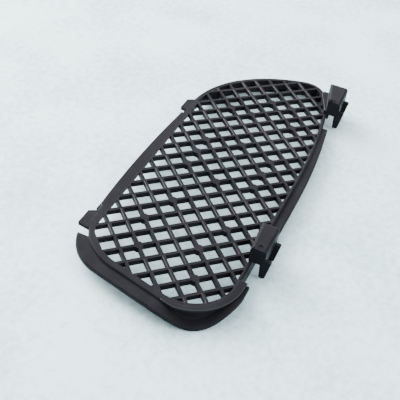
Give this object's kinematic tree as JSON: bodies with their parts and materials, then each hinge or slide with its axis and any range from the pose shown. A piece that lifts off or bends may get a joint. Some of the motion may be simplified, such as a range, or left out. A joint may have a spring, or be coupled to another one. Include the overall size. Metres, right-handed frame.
{
  "type": "scooter side grille",
  "caption": "Moulded plastic side grille with a diagonal square lattice, a skirted rim, a dipped corner flange, snap blocks on one long side and hooking tabs on the other.",
  "frame": {"origin": "under the middle of the bounding box, on the surface that the skirt stands on", "axes": "+X along the grille towards its pointed end, +Y towards the hooking tabs, +Z out of its back"},
  "size_m": [0.2204, 0.0918, 0.0176],
  "materials": {
    "black_plastic": "satin moulded"
  },
  "bodies": {
    "root": {"side_grille": "black_plastic"}
  },
  "joints": []
}
